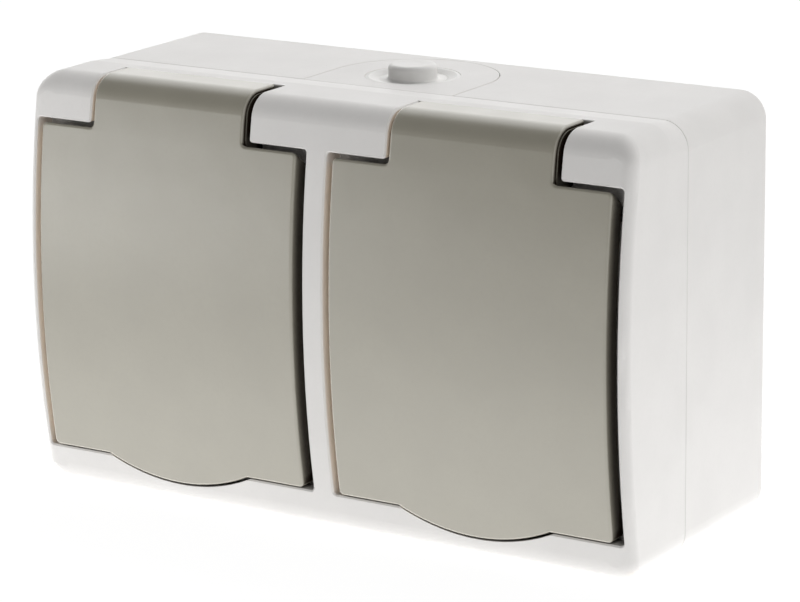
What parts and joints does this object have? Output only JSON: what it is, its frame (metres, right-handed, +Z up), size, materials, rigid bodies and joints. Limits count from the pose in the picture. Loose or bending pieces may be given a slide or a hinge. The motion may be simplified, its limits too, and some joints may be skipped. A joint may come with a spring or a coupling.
{
  "type": "outdoor weatherproof socket",
  "caption": "Surface-mounted weatherproof twin wall socket with sprung hinged lids, round earthed recesses, a sealed box and a cable grommet on top.",
  "frame": {"origin": "middle of the flat wall face at the back of the box", "axes": "+X to the right seen from the front, +Y into the wall, +Z up; the front faces -Y"},
  "size_m": [0.142, 0.0599, 0.0912],
  "materials": {
    "housing_plastic": "fine satin off-white moulding",
    "lid_plastic": "fine satin warm grey moulding",
    "insert_plastic": "smooth off-white moulding",
    "carrier_plastic": "plain cream moulding",
    "soft_grommet": "soft off-white thermoplastic elastomer",
    "seal_rubber": "soft dark sealing rubber",
    "pin_steel": "stainless steel",
    "screw_steel": "zinc plated steel",
    "contact_brass": "sprung brass",
    "line_wire": "brown wire insulation",
    "neutral_wire": "blue wire insulation",
    "earth_wire": "green and yellow wire insulation"
  },
  "bodies": {
    "housing": {"back_box": "housing_plastic", "entry_plate": "housing_plastic", "entry_grommet": "soft_grommet", "housing_seal": "seal_rubber", "front_cover": "housing_plastic", "hinge_pin_left": "pin_steel", "hinge_pin_right": "pin_steel", "socket_face_left": "insert_plastic", "socket_face_right": "insert_plastic", "flange_seal_left": "seal_rubber", "flange_seal_right": "seal_rubber", "contact_carrier_left": "carrier_plastic", "contact_carrier_right": "carrier_plastic", "line_contact_left": "contact_brass", "line_contact_right": "contact_brass", "neutral_contact_left": "contact_brass", "neutral_contact_right": "contact_brass", "earth_bracket_left": "contact_brass", "earth_bracket_right": "contact_brass", "centre_screw_left": "screw_steel", "centre_screw_right": "screw_steel", "cover_screws": "screw_steel", "carrier_screws": "screw_steel", "terminal_screws": "screw_steel", "line_link": "line_wire", "neutral_link": "neutral_wire", "earth_link": "earth_wire"},
    "lid_left": {"lid_left": "lid_plastic", "lid_seal_left": "seal_rubber", "lid_spring_left": "pin_steel"},
    "lid_right": {"lid_right": "lid_plastic", "lid_seal_right": "seal_rubber", "lid_spring_right": "pin_steel"}
  },
  "joints": [
    {"name": "lid_left_hinge", "type": "hinge", "parent": "housing", "child": "lid_left", "pos_m": [-0.0358, -0.05097, 0.0384], "axis": [-1, 0, 0], "range_deg": [0, 100], "stiffness_Nm_per_rad": 0.02, "springref_deg": -28.65},
    {"name": "lid_right_hinge", "type": "hinge", "parent": "housing", "child": "lid_right", "pos_m": [0.0358, -0.05097, 0.0384], "axis": [-1, 0, 0], "range_deg": [0, 100], "stiffness_Nm_per_rad": 0.02, "springref_deg": -28.65}
  ]
}
